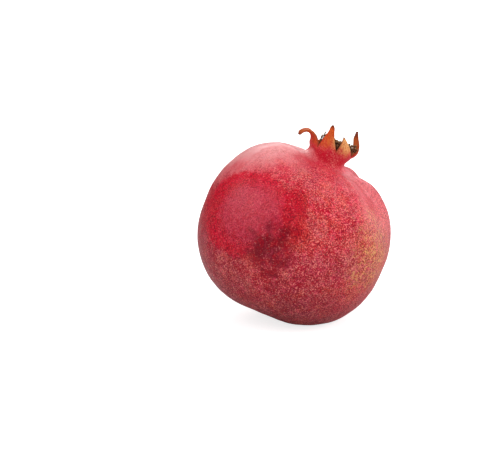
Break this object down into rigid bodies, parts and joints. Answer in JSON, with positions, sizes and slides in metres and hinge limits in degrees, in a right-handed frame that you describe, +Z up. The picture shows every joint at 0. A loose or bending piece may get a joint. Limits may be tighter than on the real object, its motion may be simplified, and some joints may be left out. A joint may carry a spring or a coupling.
{
  "type": "pomegranate",
  "caption": "Whole ripe pomegranate with a leathery red rind and an open calyx crown, lying on its base with the crown leaning to one side.",
  "frame": {"origin": "on the small resting flat under the fruit, straight below the middle of its body", "axes": "+Z up; the crown leans about 23 degrees towards +X and 9 degrees towards +Y; -Y is the side that the picture shows"},
  "size_m": [0.0957, 0.0938, 0.0983],
  "materials": {
    "rind": "satin",
    "dried_stamens": "matt",
    "woody_stem": "matt"
  },
  "bodies": {
    "root": {"fruit": "rind", "stamens": "dried_stamens", "stem_stub": "woody_stem"}
  },
  "joints": []
}
